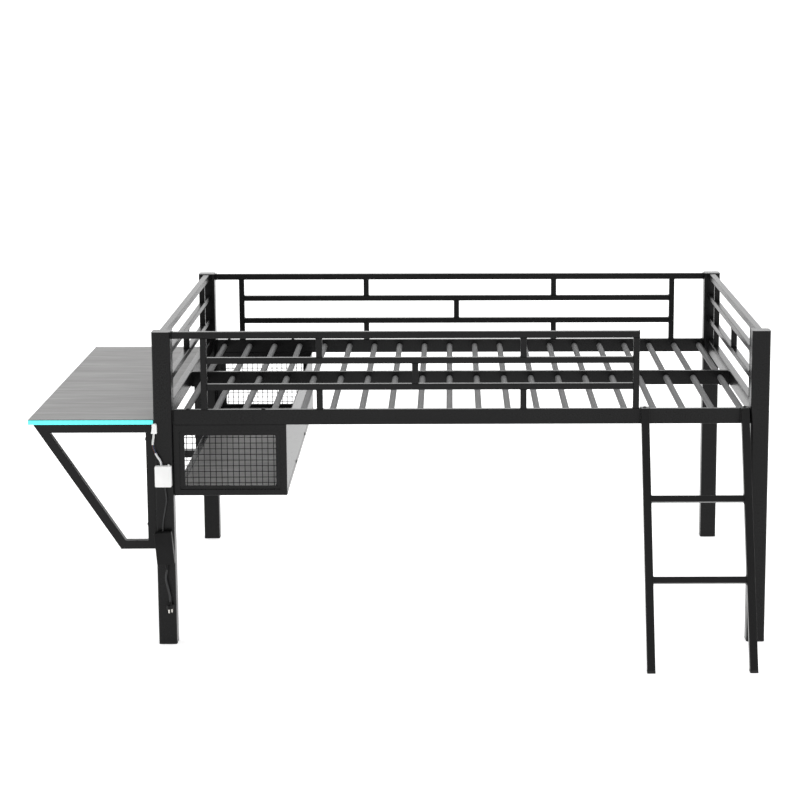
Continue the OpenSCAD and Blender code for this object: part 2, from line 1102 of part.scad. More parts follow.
post_front_left();
post_front_right();
post_rear_left();
post_rear_right();
post_caps();
post_feet();
side_rail_front();
side_rail_rear();
rail_end_plates();
end_rail_left();
end_rail_right();
panel_left_top_rail();
panel_left_mid_rails();
panel_left_uprights();
panel_right_top_rail();
panel_right_mid_rails();
panel_right_uprights();
centre_beam();
beam_brackets();
slats_front();
slats_rear();
guard_front_top_rail();
guard_front_mid_rails();
guard_front_uprights();
guard_front_spacers();
guard_rear_top_rail();
guard_rear_mid_rails();
guard_rear_uprights();
guard_rear_spacers();
ladder_stiles();
ladder_rungs();
ladder_hooks();
ladder_rivets();
ladder_feet();
desk_board();
desk_bracket_front();
desk_bracket_rear();
light_strip();
box_front_frame();
box_rear_frame();
box_front_mesh();
box_rear_mesh();
box_bottom_tubes();
box_shelf_board();
box_side_panel();
box_bolts();
light_connector();
light_lead();
light_controller();
controller_lead();
power_adapter();
adapter_gland();
mounting_pads();
mains_lead();
plug_body();
plug_blades();
bed_bolts();
desk_bolts();
box_hanger_bolts();
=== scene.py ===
import json
import math

import bmesh
import bpy
from mathutils import Matrix, Vector


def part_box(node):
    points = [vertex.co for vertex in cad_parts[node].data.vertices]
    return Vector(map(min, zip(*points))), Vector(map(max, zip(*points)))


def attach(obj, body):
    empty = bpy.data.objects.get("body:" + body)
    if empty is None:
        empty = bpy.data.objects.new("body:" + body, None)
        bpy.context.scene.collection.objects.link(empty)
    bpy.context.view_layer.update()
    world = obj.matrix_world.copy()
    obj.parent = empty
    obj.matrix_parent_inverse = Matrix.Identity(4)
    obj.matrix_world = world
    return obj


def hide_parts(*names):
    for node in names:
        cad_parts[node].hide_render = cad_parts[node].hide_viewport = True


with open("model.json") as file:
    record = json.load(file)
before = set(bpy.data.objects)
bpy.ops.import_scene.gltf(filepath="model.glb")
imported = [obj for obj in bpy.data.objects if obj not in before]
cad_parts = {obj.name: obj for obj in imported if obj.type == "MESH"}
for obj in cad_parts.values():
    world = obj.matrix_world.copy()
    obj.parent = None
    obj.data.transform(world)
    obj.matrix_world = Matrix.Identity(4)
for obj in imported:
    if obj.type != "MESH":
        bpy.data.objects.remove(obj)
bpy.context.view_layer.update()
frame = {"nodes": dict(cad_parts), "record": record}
scene = bpy.context.scene


# ---------------------------------------------------------------- camera
# The camera stands in front of the ladder side, well back and a little above
# the guards, so that both rows of slats and the desk's top show.
post_low = Vector(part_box("post_front_left")[0])
post_high = Vector(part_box("post_rear_right")[1])
bed_middle = (post_low + post_high) / 2

camera_data = bpy.data.cameras.new("camera")
camera_data.sensor_width = 36.0
camera_data.lens = 104.93
camera_data.shift_x = -0.1084
camera_data.shift_y = 0.0088
camera = bpy.data.objects.new("camera", camera_data)
scene.collection.objects.link(camera)
camera_turn = Matrix.Rotation(math.radians(-0.891), 4, "Z")
camera_tip = Matrix.Rotation(math.radians(90 - 10.671), 4, "X")
camera_place = Matrix.Translation((bed_middle.x - 0.0349, bed_middle.y - 8.1838, 2.1928))
camera.matrix_world = camera_place @ camera_turn @ camera_tip
scene.camera = camera


# ---------------------------------------------------------------- cords
# Three short leads hang on the front left post: a flat four-core lead from the
# light strip to its controller, a round one on to the adapter, and a mains
# lead with a plug.  Each keeps the route that the frame gives it.
def new_material(name, colour, roughness, ior=1.45, metallic=0.0):
    """A principled material with its plain values set, and its two node handles."""
    material = bpy.data.materials.new(name)
    material.use_nodes = True
    shader = material.node_tree.nodes["Principled BSDF"]
    shader.inputs["Base Color"].default_value = (*colour, 1.0)
    shader.inputs["Roughness"].default_value = roughness
    shader.inputs["IOR"].default_value = ior
    shader.inputs["Metallic"].default_value = metallic
    material.diffuse_color = (*colour, 1.0)
    return material, shader


def add_noise(material, scale, detail=3.0, stretch=(1.0, 1.0, 1.0)):
    """A noise texture on the piece's own coordinates, stretched along its axes."""
    tree = material.node_tree
    place = tree.nodes.new("ShaderNodeTexCoord")
    mapping = tree.nodes.new("ShaderNodeMapping")
    mapping.inputs["Scale"].default_value = stretch
    noise = tree.nodes.new("ShaderNodeTexNoise")
    noise.inputs["Scale"].default_value = scale
    noise.inputs["Detail"].default_value = detail
    tree.links.new(place.outputs["Object"], mapping.inputs["Vector"])
    tree.links.new(mapping.outputs["Vector"], noise.inputs["Vector"])
    return noise


def add_range(material, source, low, high):
    """Maps a texture's 0.3 to 0.7 to a low and a high value."""
    tree = material.node_tree
    spread = tree.nodes.new("ShaderNodeMapRange")
    spread.inputs["From Min"].default_value = 0.3
    spread.inputs["From Max"].default_value = 0.7
    spread.inputs["To Min"].default_value = low
    spread.inputs["To Max"].default_value = high
    tree.links.new(source, spread.inputs["Value"])
    return spread.outputs["Result"]


def add_tint(material, source, dark, light):
    """Drives the base colour between two colours."""
    tree = material.node_tree
    shader = tree.nodes["Principled BSDF"]
    ramp = tree.nodes.new("ShaderNodeValToRGB")
    ramp.color_ramp.elements[0].position = 0.3
    ramp.color_ramp.elements[0].color = (*dark, 1.0)
    ramp.color_ramp.elements[1].position = 0.7
    ramp.color_ramp.elements[1].color = (*light, 1.0)
    tree.links.new(source, ramp.inputs["Fac"])
    tree.links.new(ramp.outputs["Color"], shader.inputs["Base Color"])
    return ramp


def add_bump(material, source, strength, distance):
    """Raises the surface by a texture, in metres."""
    tree = material.node_tree
    bump = tree.nodes.new("ShaderNodeBump")
    bump.inputs["Strength"].default_value = strength
    bump.inputs["Distance"].default_value = distance
    tree.links.new(source, bump.inputs["Height"])
    tree.links.new(bump.outputs["Normal"], tree.nodes["Principled BSDF"].inputs["Normal"])
    return bump


def moulded_plastic(name, dark, light, roughness, grain=900.0, depth=0.00012, ior=1.45):
    """Moulded plastic: a fine spark-eroded grain and faint cloudiness."""
    material, shader = new_material(name, light, roughness, ior)
    cloud = add_noise(material, 18.0)
    add_tint(material, cloud.outputs["Fac"], dark, light)
    skin = add_noise(material, grain, 2.0)
    tree = material.node_tree
    tree.links.new(
        add_range(material, skin.outputs["Fac"], roughness - 0.06, roughness + 0.08),
        shader.inputs["Roughness"],
    )
    add_bump(material, skin.outputs["Fac"], 0.25, depth)
    return material


def smooth_route(points, steps=6):
    """A finer line through given points, bent evenly through each of them."""
    fine = []
    for i in range(len(points) - 1):
        before = points[max(i - 1, 0)]
        start, end = points[i], points[i + 1]
        after = points[min(i + 2, len(points) - 1)]
        for k in range(steps):
            t = k / steps
            fine.append(
                0.5
                * (
                    2 * start
                    + (end - before) * t
                    + (2 * before - 5 * start + 4 * end - after) * t * t
                    + (3 * start - before - 3 * end + after) * t**3
                )
            )
    fine.append(points[-1].copy())
    return fine


def link_mesh(name, mesh, material, smooth=True):
    """Adds a finished mesh to the scene as a piece at the origin."""
    piece = bpy.data.objects.new(name, mesh)
    scene.collection.objects.link(piece)
    if material is not None:
        mesh.materials.append(material)
    for face in mesh.polygons:
        face.use_smooth = smooth
    return piece


def swept_mesh(name, route, outlines, twist=0.0, scale=None):
    """Sweeps closed outlines along a route.  Each outline is a list of (across, out)
    points; the whole turns by twist radians along the way."""
    bm = bmesh.new()
    last = len(route) - 1
    for outline in outlines:
        rings = []
        for i, point in enumerate(route):
            ahead = (route[min(i + 1, last)] - route[max(i - 1, 0)]).normalized()
            across = ahead.cross(Vector((0, 1, 0))).normalized()
            out = ahead.cross(across).normalized()
            turn = twist * i / last
            size = 1.0 if scale is None else scale(i / last)
            ring = []
            for u, v in outline:
                a = (u * math.cos(turn) - v * math.sin(turn)) * size
                b = (u * math.sin(turn) + v * math.cos(turn)) * size
                ring.append(bm.verts.new(point + across * a + out * b))
            rings.append(ring)
        count = len(outline)
        for low, high in zip(rings, rings[1:]):
            for k in range(count):
                bm.faces.new((low[k], low[(k + 1) % count], high[(k + 1) % count], high[k]))
        bm.faces.new(list(reversed(rings[0])))
        bm.faces.new(rings[-1])
    bmesh.ops.recalc_face_normals(bm, faces=bm.faces)
    mesh = bpy.data.meshes.new(name)
    bm.to_mesh(mesh)
    bm.free()
    return mesh


def oval(width, depth, sides, across=0.0):
    return [
        (
            across + width / 2 * math.cos(2 * math.pi * k / sides),
            depth / 2 * math.sin(2 * math.pi * k / sides),
        )
        for k in range(sides)
    ]


post_x = (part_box("post_front_left")[0][0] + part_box("post_front_left")[1][0]) / 2
post_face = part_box("post_front_left")[0][1]
board_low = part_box("desk_board")[0][2]
control_low, control_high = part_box("light_controller")[0][2], 0.604
adapter_z = 0.3315


def lead_points(rows):
    """Route rows are offsets from the post's middle and front face, and a height."""
    return [Vector((post_x + dx, post_face - dy, z)) for dx, dy, z in rows]


light_route = smooth_route(
    lead_points(
        [
            (-0.028, 0.007, board_low - 0.026),
            (-0.029, 0.008, board_low - 0.037),
            (-0.031, 0.010, board_low - 0.050),
            (-0.032, 0.011, board_low - 0.061),
            (-0.031, 0.012, board_low - 0.072),
            (-0.027, 0.013, board_low - 0.083),
            (-0.022, 0.013, board_low - 0.093),
            (-0.017, 0.013, board_low - 0.102),
            (-0.011, 0.013, board_low - 0.111),
            (-0.007, 0.013, board_low - 0.120),
            (-0.005, 0.013, control_high),
        ]
    )
)
core_colours = {
    "black": (0.02, 0.02, 0.02),
    "red": (0.16, 0.012, 0.01),
    "green": (0.012, 0.06, 0.02),
    "blue": (0.01, 0.025, 0.12),
}
core_pitch = 0.00145
light_lead = link_mesh(
    "light_lead_cores",
    swept_mesh(
        "light_lead_cores",
        light_route,
        [oval(0.0014, 0.0014, 8, (k - 1.5) * core_pitch) for k in range(4)],
        twist=0.9,
    ),
    None,
)
for colour_name, colour in core_colours.items():
    light_lead.data.materials.append(
        moulded_plastic(f"core_{colour_name}", colour, [c * 1.4 for c in colour], 0.45, 700.0)
    )
core_faces = len(light_lead.data.polygons) // 4
for face in light_lead.data.polygons:
    face.material_index = face.index // core_faces

sleeve_white = moulded_plastic(
    "sleeve_white", (0.62, 0.62, 0.61), (0.74, 0.74, 0.73), 0.42, 500.0
)
sleeve_cuts = {"light_lead_upper_sleeve": (0, 20), "light_lead_lower_sleeve": (34, 61)}
for sleeve_name, (first, end) in sleeve_cuts.items():
    stretch = light_route[first:end]
    sleeve_mesh = swept_mesh(
        sleeve_name,
        stretch,
        [oval(0.0070, 0.0042, 16)],
        twist=0.25,
        scale=lambda t: 0.9 + 0.1 * math.sin(math.pi * min(max(t, 0.0), 1.0)) ** 0.3,
    )
    sleeve = link_mesh(sleeve_name, sleeve_mesh, sleeve_white)
    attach(sleeve, "bed")
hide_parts("light_lead")
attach(light_lead, "bed")

cord_jacket = moulded_plastic(
    "cord_jacket", (0.016, 0.016, 0.017), (0.024, 0.024, 0.025), 0.5, 400.0
)


def round_lead(name, route, diameter, sides=14):
    mesh = swept_mesh(name, route, [oval(diameter, diameter, sides)])
    return link_mesh(name, mesh, cord_jacket)


controller_route = smooth_route(
    lead_points(
        [
            (0.005, 0.013, control_low),
            (0.0055, 0.013, control_low - 0.012),
            (0.007, 0.013, control_low - 0.026),
            (0.008, 0.013, control_low - 0.040),
            (0.007, 0.013, control_low - 0.054),
            (0.004, 0.013, control_low - 0.070),
            (0.001, 0.013, control_low - 0.086),
            (-0.002, 0.013, control_low - 0.102),
            (-0.0045, 0.013, control_low - 0.118),
            (-0.0055, 0.014, control_low - 0.132),
            (-0.0056, 0.015, adapter_z + 0.0536),
        ]
    )
)
controller_lead = round_lead("controller_lead_jacket", controller_route, 0.0045)
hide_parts("controller_lead")
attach(controller_lead, "bed")

mains_route = smooth_route(
    lead_points(
        [
            (0.0051, 0.018, 0.2575),
            (0.0035, 0.018, 0.250),
            (0.0010, 0.018, 0.239),
            (0.0005, 0.018, 0.226),
            (0.0025, 0.018, 0.212),
            (0.0060, 0.018, 0.197),
            (0.0095, 0.018, 0.181),
            (0.0120, 0.018, 0.165),
            (0.0125, 0.018, 0.150),
        ]
    )
)
mains_lead = round_lead("mains_lead_jacket", mains_route, 0.0065, 16)
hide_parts("mains_lead")
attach(mains_lead, "bed")


def rounded_outline(width, height, corner, steps=6):
    """A rounded rectangle about the origin, anticlockwise."""
    points = []
    for turn, (sx, sy) in enumerate(((1, 1), (-1, 1), (-1, -1), (1, -1))):
        for k in range(steps + 1):
            angle = math.pi / 2 * (turn + k / steps)
            points.append(
                (
                    sx * (width / 2 - corner) + corner * math.cos(angle),
                    sy * (height / 2 - corner) + corner * math.sin(angle),
                )
            )
    return points


def loft_rows(bm, rows, place):
    """Skins a stack of outlines, each with its own height, and caps both ends."""
    rings = [
        [bm.verts.new(place @ Vector((x, y, height))) for x, y in outline]
        for height, outline in rows
    ]
    count = len(rings[0])
    for low, high in zip(rings, rings[1:]):
        for k in range(count):
            bm.faces.new((low[k], low[(k + 1) % count], high[(k + 1) % count], high[k]))
    bm.faces.new(list(reversed(rings[0])))
    bm.faces.new(rings[-1])


def moulded_block(bm, place, width, height, corner, low, high, edge):
    """A block with rounded corners and rounded rims, from its low to its high level."""
    rows = []
    for k in range(4):
        a = math.pi / 2 * k / 3
        inset = edge * (1 - math.sin(a))
        rows.append((low + edge * (1 - math.cos(a)), inset))
    rows += [(low + high - level, inset) for level, inset in reversed(rows)]
    loft_rows(
        bm,
        [
            (level, rounded_outline(width - 2 * inset, height - 2 * inset, corner - inset))
            for level, inset in rows
        ],
        place,
    )


def close_piece(name, bm, material, node):
    """Turns a finished bmesh into a piece that stands in for a node of the frame."""
    bmesh.ops.recalc_face_normals(bm, faces=bm.faces)
    mesh = bpy.data.meshes.new(name)
    bm.to_mesh(mesh)
    bm.free()
    piece = link_mesh(name, mesh, material)
    mesh.set_sharp_from_angle(angle=math.radians(40))
    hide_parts(node)
    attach(piece, "bed")
    return piece


def circle(radius, sides=20):
    return [
        (radius * math.cos(2 * math.pi * k / sides), radius * math.sin(2 * math.pi * k / sides))
        for k in range(sides)
    ]


# The plug is one moulding round two flat plated blades, with a ribbed neck.
black_shell = moulded_plastic(
    "black_shell", (0.004, 0.004, 0.0042), (0.006, 0.006, 0.0062), 0.4, ior=1.26
)
plug_foot = Matrix.Translation((post_x + 0.0125, post_face - 0.018, 0.125))
plug_place = plug_foot @ Matrix.Rotation(math.radians(48), 4, "Z")
plug_bm = bmesh.new()
moulded_block(plug_bm, plug_place, 0.024, 0.014, 0.004, 0.0, 0.014, 0.0014)
neck_rows = []
rib, rib_pitch, rib_depth = 0.0012, 0.0018, 0.0007
for k in range(6):
    foot = 0.0138 + rib_pitch * k
    radius = 0.0062 - 0.0004 * k
    neck_rows += [(foot, circle(radius)), (foot + rib, circle(radius))]
    neck_rows += [
        (foot + rib, circle(radius - rib_depth)),
        (foot + rib_pitch, circle(radius - rib_depth)),
    ]
loft_rows(plug_bm, neck_rows, plug_place)
plug_moulding = close_piece("plug_moulding", plug_bm, black_shell, "plug_body")

blade_metal, blade_shader = new_material("blade_metal", (0.62, 0.6, 0.56), 0.28, metallic=1.0)
blade_brush = add_noise(blade_metal, 900.0, 2.0, (1.0, 1.0, 0.05))
blade_metal.node_tree.links.new(
    add_range(blade_metal, blade_brush.outputs["Fac"], 0.22, 0.4),
    blade_shader.inputs["Roughness"],
)
blades_bm = bmesh.new()
for blade_x in (-0.00635, 0.00635):
    blade_rows = [
        (-0.013, rounded_outline(0.0007, 0.0048, 0.0003, 2)),
        (-0.0115, rounded_outline(0.0015, 0.0064, 0.0003, 2)),
        (0.001, rounded_outline(0.0015, 0.0064, 0.0003, 2)),
    ]
    loft_rows(blades_bm, blade_rows, plug_place @ Matrix.Translation((blade_x, 0, 0)))
plug_pins = close_piece("plug_pins", blades_bm, blade_metal, "plug_blades")


# ---------------------------------------------------------------- light and floor
# A bright studio: the wall behind the bed is the brightest, the side where the
# camera stands is dimmer, and the floor is pale and matte.
world = bpy.data.worlds.new("studio")
world.use_nodes = True
scene.world = world
world_tree = world.node_tree
room_side = world_tree.nodes.new("ShaderNodeTexCoord")
room_axes = world_tree.nodes.new("ShaderNodeSeparateXYZ")
room_glow = world_tree.nodes.new("ShaderNodeMapRange")
room_glow.interpolation_type = "SMOOTHSTEP"
room_glow.inputs["From Min"].default_value = -0.7
room_glow.inputs["From Max"].default_value = 0.7
room_glow.inputs["To Min"].default_value = 0.57
room_glow.inputs["To Max"].default_value = 1.65
world_tree.links.new(room_side.outputs["Generated"], room_axes.inputs["Vector"])
world_tree.links.new(room_axes.outputs["Y"], room_glow.inputs["Value"])
room_wall = world_tree.nodes["Background"]
world_tree.links.new(room_glow.outputs["Result"], room_wall.inputs["Strength"])
room_wall.inputs["Color"].default_value = (1.0, 1.0, 1.0, 1.0)
scene.view_settings.view_transform = "Standard"

floor_paint, floor_shader = new_material("floor_paint", (0.8, 0.8, 0.8), 0.95)
floor_shader.inputs["Emission Color"].default_value = (1.0, 1.0, 1.0, 1.0)
floor_shader.inputs["Emission Strength"].default_value = 0.6
bpy.ops.mesh.primitive_plane_add(size=80.0, location=(0, 0, -0.0005))
floor = bpy.context.object
floor.name = "floor"
floor.data.materials.append(floor_paint)


# ---------------------------------------------------------------- steel tube
# All the frame is cut and welded steel tube with a fine black powder coat,
# which is dark face on and turns light grey where it mirrors the room.
def powder_coat(name, dark, light, roughness):
    material, shader = new_material(name, light, roughness, ior=1.28)
    cloud = add_noise(material, 6.0)
    add_tint(material, cloud.outputs["Fac"], dark, light)
    peel = add_noise(material, 650.0, 2.0)
    material.node_tree.links.new(
        add_range(material, peel.outputs["Fac"], roughness - 0.05, roughness + 0.05),
        shader.inputs["Roughness"],
    )
    add_bump(material, peel.outputs["Fac"], 0.15, 0.00008)
    return material


black_coat = powder_coat(
    "black_powder_coat", (0.0045, 0.0045, 0.0047), (0.0065, 0.0065, 0.0067), 0.28
)


def paint(node, material):
    """Gives a node of the frame its finish."""
    piece = frame["nodes"][node]
    piece.data.materials.clear()
    piece.data.materials.append(material)
    return piece


def soften(node, width, segments=2):
    """Breaks a node's sharp edges by a small radius, as paint and tooling do."""
    piece = frame["nodes"][node]
    weld = piece.modifiers.new("join", "WELD")
    weld.merge_threshold = 0.00002
    bevel = piece.modifiers.new("edges", "BEVEL")
    bevel.width = width
    bevel.segments = segments
    bevel.limit_method = "ANGLE"
    bevel.angle_limit = math.radians(50)
    bevel.harden_normals = True
    return piece


for row in frame["record"]["subparts"]:
    if row["material_slot"] == "powder_coat":
        paint(row["node"], black_coat)

# The ladder is painted on its own and comes out slightly lighter.
ladder_coat = powder_coat(
    "ladder_powder_coat", (0.0105, 0.0105, 0.0107), (0.0135, 0.0135, 0.0137), 0.3
)
for ladder_node in ("ladder_stiles", "ladder_rungs", "ladder_hooks"):
    paint(ladder_node, ladder_coat)

# Sheet and bar parts that are cut sharp get the coat's soft edges.
for cut_node, edge_width in {
    "post_caps": 0.0012,
    "rail_end_plates": 0.0008,
    "beam_brackets": 0.0007,
    "desk_bracket_front": 0.0016,
    "desk_bracket_rear": 0.0016,
    "box_front_frame": 0.0014,
    "box_rear_frame": 0.0014,
    "box_side_panel": 0.0007,
    "ladder_hooks": 0.0007,
    "ladder_stiles": 0.0016,
}.items():
    soften(cut_node, edge_width)


# ---------------------------------------------------------------- welds
# Every tube is welded to its neighbour all round, and the beads show as small
# ripples under the coat.  One tree lays them along the seams it is given.
def solid_boxes(node):
    """The lowest and highest corner of each separate solid in a node."""
    bm = bmesh.new()
    bm.from_mesh(frame["nodes"][node].data)
    bmesh.ops.remove_doubles(bm, verts=bm.verts, dist=0.00002)
    boxes, seen = [], set()
    for start in bm.verts:
        if start in seen:
            continue
        island, queue = [], [start]
        seen.add(start)
        while queue:
            vert = queue.pop()
            island.append(vert.co.copy())
            for edge in vert.link_edges:
                other = edge.other_vert(vert)
                if other not in seen:
                    seen.add(other)
                    queue.append(other)
        low = Vector([min(p[i] for p in island) for i in range(3)])
        high = Vector([max(p[i] for p in island) for i in range(3)])
        boxes.append((low, high))
    bm.free()
    return boxes


def seam_loops(node):
    """Both end seams of each straight tube in a node, as rectangles."""
    loops = []
    for low, high in solid_boxes(node):
        size = high - low
        along = max(range(3), key=lambda i: size[i])
        u, v = [i for i in range(3) if i != along]
        near, far = (low[u], low[v]), (high[u], high[v])
        for end in (low[along], high[along]):
            loop = []
            for a, b in (near, (far[0], near[1]), far, (near[0], far[1])):
                point = Vector()
                point[along], point[u], point[v] = end, a, b
                loop.append(point)
            loops.append(loop)
    return loops


def new_tree(name, sockets):
    """An empty geometry tree with named inputs."""
    tree = bpy.data.node_groups.new(name, "GeometryNodeTree")
    tree.interface.new_socket("Geometry", in_out="INPUT", socket_type="NodeSocketGeometry")
    for label, kind, value in sockets:
        socket = tree.interface.new_socket(label, in_out="INPUT", socket_type=kind)
        if value is not None:
            socket.default_value = value
    tree.interface.new_socket("Geometry", in_out="OUTPUT", socket_type="NodeSocketGeometry")
    return tree, tree.nodes.new("NodeGroupInput"), tree.nodes.new("NodeGroupOutput")


def finish_tree(tree, group_in, group_out, instances):
    """Closes a tree with real geometry in the material it is given."""
    real = tree.nodes.new("GeometryNodeRealizeInstances")
    coat = tree.nodes.new("GeometryNodeSetMaterial")
    tree.links.new(instances, real.inputs["Geometry"])
    tree.links.new(real.outputs["Geometry"], coat.inputs["Geometry"])
    tree.links.new(group_in.outputs["Material"], coat.inputs["Material"])
    tree.links.new(coat.outputs["Geometry"], group_out.inputs["Geometry"])


def run_tree(name, base_mesh, tree, values, body):
    """Runs a tree on a base mesh and keeps the result as a plain piece on a body."""
    base = bpy.data.objects.new(name + "_base", base_mesh)
    scene.collection.objects.link(base)
    modifier = base.modifiers.new("tree", "NODES")
    modifier.node_group = tree
    for item in tree.interface.items_tree:
        if item.item_type == "SOCKET" and item.in_out == "INPUT" and item.name in values:
            modifier[item.identifier] = values[item.name]
    graph = bpy.context.evaluated_depsgraph_get()
    mesh = bpy.data.meshes.new_from_object(base.evaluated_get(graph))
    base.modifiers.remove(modifier)
    bpy.data.objects.remove(base)
    mesh.name = name
    piece = link_mesh(name, mesh, None)
    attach(piece, body)
    return piece


bead_tree, bead_in, bead_out = new_tree(
    "weld_beads",
    [
        ("Spacing", "NodeSocketFloat", 0.0032),
        ("Bead Radius", "NodeSocketFloat", 0.0015),
        ("Material", "NodeSocketMaterial", None),
    ],
)
bead_curve = bead_tree.nodes.new("GeometryNodeMeshToCurve")
bead_points = bead_tree.nodes.new("GeometryNodeResampleCurve")
bead_points.mode = "LENGTH"
bead_ball = bead_tree.nodes.new("GeometryNodeMeshIcoSphere")
bead_ball.inputs["Subdivisions"].default_value = 1
bead_lay = bead_tree.nodes.new("GeometryNodeInstanceOnPoints")
bead_size = bead_tree.nodes.new("FunctionNodeRandomValue")
bead_size.data_type = "FLOAT"
bead_size.inputs[2].default_value = 0.8
bead_size.inputs[3].default_value = 1.15
bead_size.inputs["Seed"].default_value = 7
bead_tree.links.new(bead_in.outputs["Geometry"], bead_curve.inputs["Mesh"])
bead_tree.links.new(bead_curve.outputs["Curve"], bead_points.inputs["Curve"])
bead_tree.links.new(bead_in.outputs["Spacing"], bead_points.inputs["Length"])
bead_tree.links.new(bead_in.outputs["Bead Radius"], bead_ball.inputs["Radius"])
bead_tree.links.new(bead_points.outputs["Curve"], bead_lay.inputs["Points"])
bead_tree.links.new(bead_ball.outputs["Mesh"], bead_lay.inputs["Instance"])
bead_tree.links.new(bead_size.outputs[1], bead_lay.inputs["Scale"])
finish_tree(bead_tree, bead_in, bead_out, bead_lay.outputs["Instances"])

panel_nodes = [
    f"panel_{side}_{bars}"
    for side in ("left", "right")
    for bars in ("mid_rails", "uprights", "top_rail")
]
guard_nodes = [
    f"guard_{side}_{bars}"
    for side in ("front", "rear")
    for bars in ("mid_rails", "uprights", "spacers", "top_rail")
]
rail_nodes = ["side_rail_front", "side_rail_rear", "end_rail_left", "end_rail_right"]
welded_nodes = {
    "bed": panel_nodes + guard_nodes + rail_nodes + ["box_bottom_tubes"],
    "ladder": ["ladder_rungs"],
}
weld_coats = {"bed": black_coat, "ladder": ladder_coat}
for weld_body, nodes in welded_nodes.items():
    corners, edges = [], []
    for node in nodes:
        for loop in seam_loops(node):
            first = len(corners)
            corners.extend(loop)
            edges.extend((first + k, first + (k + 1) % 4) for k in range(4))
    seam_mesh = bpy.data.meshes.new("seams")
    seam_mesh.from_pydata(corners, edges, [])
    values = {"Material": weld_coats[weld_body]}
    welds = run_tree(f"{weld_body}_welds", seam_mesh, bead_tree, values, weld_body)

# ---------------------------------------------------------------- slats
# Round slat tubes run from each side rail to the centre beam.  Their coat is
# a flatter dark grey than the coat on the square tube.  Its lighter base colour
# is painted sheen, standing in for the even reflection of the room along the tubes.
slat_coat_painted_sheen = powder_coat("slat_powder_coat_painted_sheen", (0.105, 0.105, 0.106), (0.125, 0.125, 0.126), 0.55)
paint("slats_front", slat_coat_painted_sheen)
paint("slats_rear", slat_coat_painted_sheen)

# ---------------------------------------------------------------- feet
# Moulded rubber pads close the posts and the ladder's stiles.
foot_rubber = moulded_plastic(
    "foot_rubber", (0.012, 0.012, 0.012), (0.02, 0.02, 0.02), 0.7, 500.0
)
paint("post_feet", foot_rubber)
paint("ladder_feet", foot_rubber)


# ---------------------------------------------------------------- boards
# The desk board and the shelf are pressed board under a grey oak laminate,
# with the grain along the bed and a thin band glued round the edges.
def oak_laminate(name, dark, middle, light):
    material, shader = new_material(name, middle, 0.5, ior=1.3)
    tree = material.node_tree
    bands = add_noise(material, 7.0, 5.0, (0.4, 3.0, 3.0))
    streaks = add_noise(material, 95.0, 6.0, (0.06, 1.0, 1.0))
    pores = add_noise(material, 420.0, 3.0, (0.05, 1.0, 1.0))
    coarse = tree.nodes.new("ShaderNodeMix")
    coarse.data_type = "FLOAT"
    coarse.inputs["Factor"].default_value = 0.5
    fine = tree.nodes.new("ShaderNodeMix")
    fine.data_type = "FLOAT"
    fine.inputs["Factor"].default_value = 0.35
    tree.links.new(bands.outputs["Fac"], coarse.inputs["A"])
    tree.links.new(streaks.outputs["Fac"], coarse.inputs["B"])
    tree.links.new(coarse.outputs["Result"], fine.inputs["A"])
    tree.links.new(pores.outputs["Fac"], fine.inputs["B"])
    ramp = add_tint(material, fine.outputs["Result"], dark, light)
    ramp.color_ramp.elements[0].position = 0.38
    ramp.color_ramp.elements[1].position = 0.62
    middle_stop = ramp.color_ramp.elements.new(0.5)
    middle_stop.color = (*middle, 1.0)
    tree.links.new(
        add_range(material, pores.outputs["Fac"], 0.42, 0.58), shader.inputs["Roughness"]
    )
    add_bump(material, pores.outputs["Fac"], 0.35, 0.00012)
    return material


def eased_board(name, low, high, edge, material):
    """A board with slightly rounded edges."""
    bm = bmesh.new()
    bmesh.ops.create_cube(bm, size=1.0)
    size, middle = high - low, (low + high) / 2
    for vert in bm.verts:
        vert.co = middle + Vector([vert.co[i] * size[i] for i in range(3)])
    bmesh.ops.bevel(
        bm,
        geom=list(bm.edges),
        offset=edge,
        segments=3,
        profile=0.5,
        affect="EDGES",
        clamp_overlap=True,
    )
    mesh = bpy.data.meshes.new(name)
    bm.to_mesh(mesh)
    bm.free()
    return link_mesh(name, mesh, material, smooth=False)


grey_oak = oak_laminate(
    "grey_oak_laminate", (0.155, 0.153, 0.15), (0.215, 0.212, 0.21), (0.28, 0.277, 0.275)
)
band_oak = oak_laminate(
    "oak_edge_band", (0.07, 0.068, 0.066), (0.09, 0.088, 0.086), (0.12, 0.117, 0.115)
)
desk_low, desk_high = (Vector(c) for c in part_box("desk_board"))
band = 0.0009
desk_top = eased_board(
    "desk_board_top",
    desk_low + Vector((band, band, 0)),
    desk_high - Vector((0, band, 0)),
    0.0005,
    grey_oak,
)
desk_bands = {
    "desk_band_left": (desk_low, Vector((desk_low.x + band, desk_high.y, desk_high.z))),
    "desk_band_front": (
        Vector((desk_low.x + band, desk_low.y, desk_low.z)),
        Vector((desk_high.x, desk_low.y + band, desk_high.z)),
    ),
    "desk_band_rear": (
        Vector((desk_low.x + band, desk_high.y - band, desk_low.z)),
        Vector((desk_high.x, desk_high.y, desk_high.z)),
    ),
}
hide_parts("desk_board")
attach(desk_top, "bed")
for band_name, (low, high) in desk_bands.items():
    band_piece = eased_board(band_name, low, high, 0.0003, band_oak)
    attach(band_piece, "bed")
paint("box_shelf_board", grey_oak)

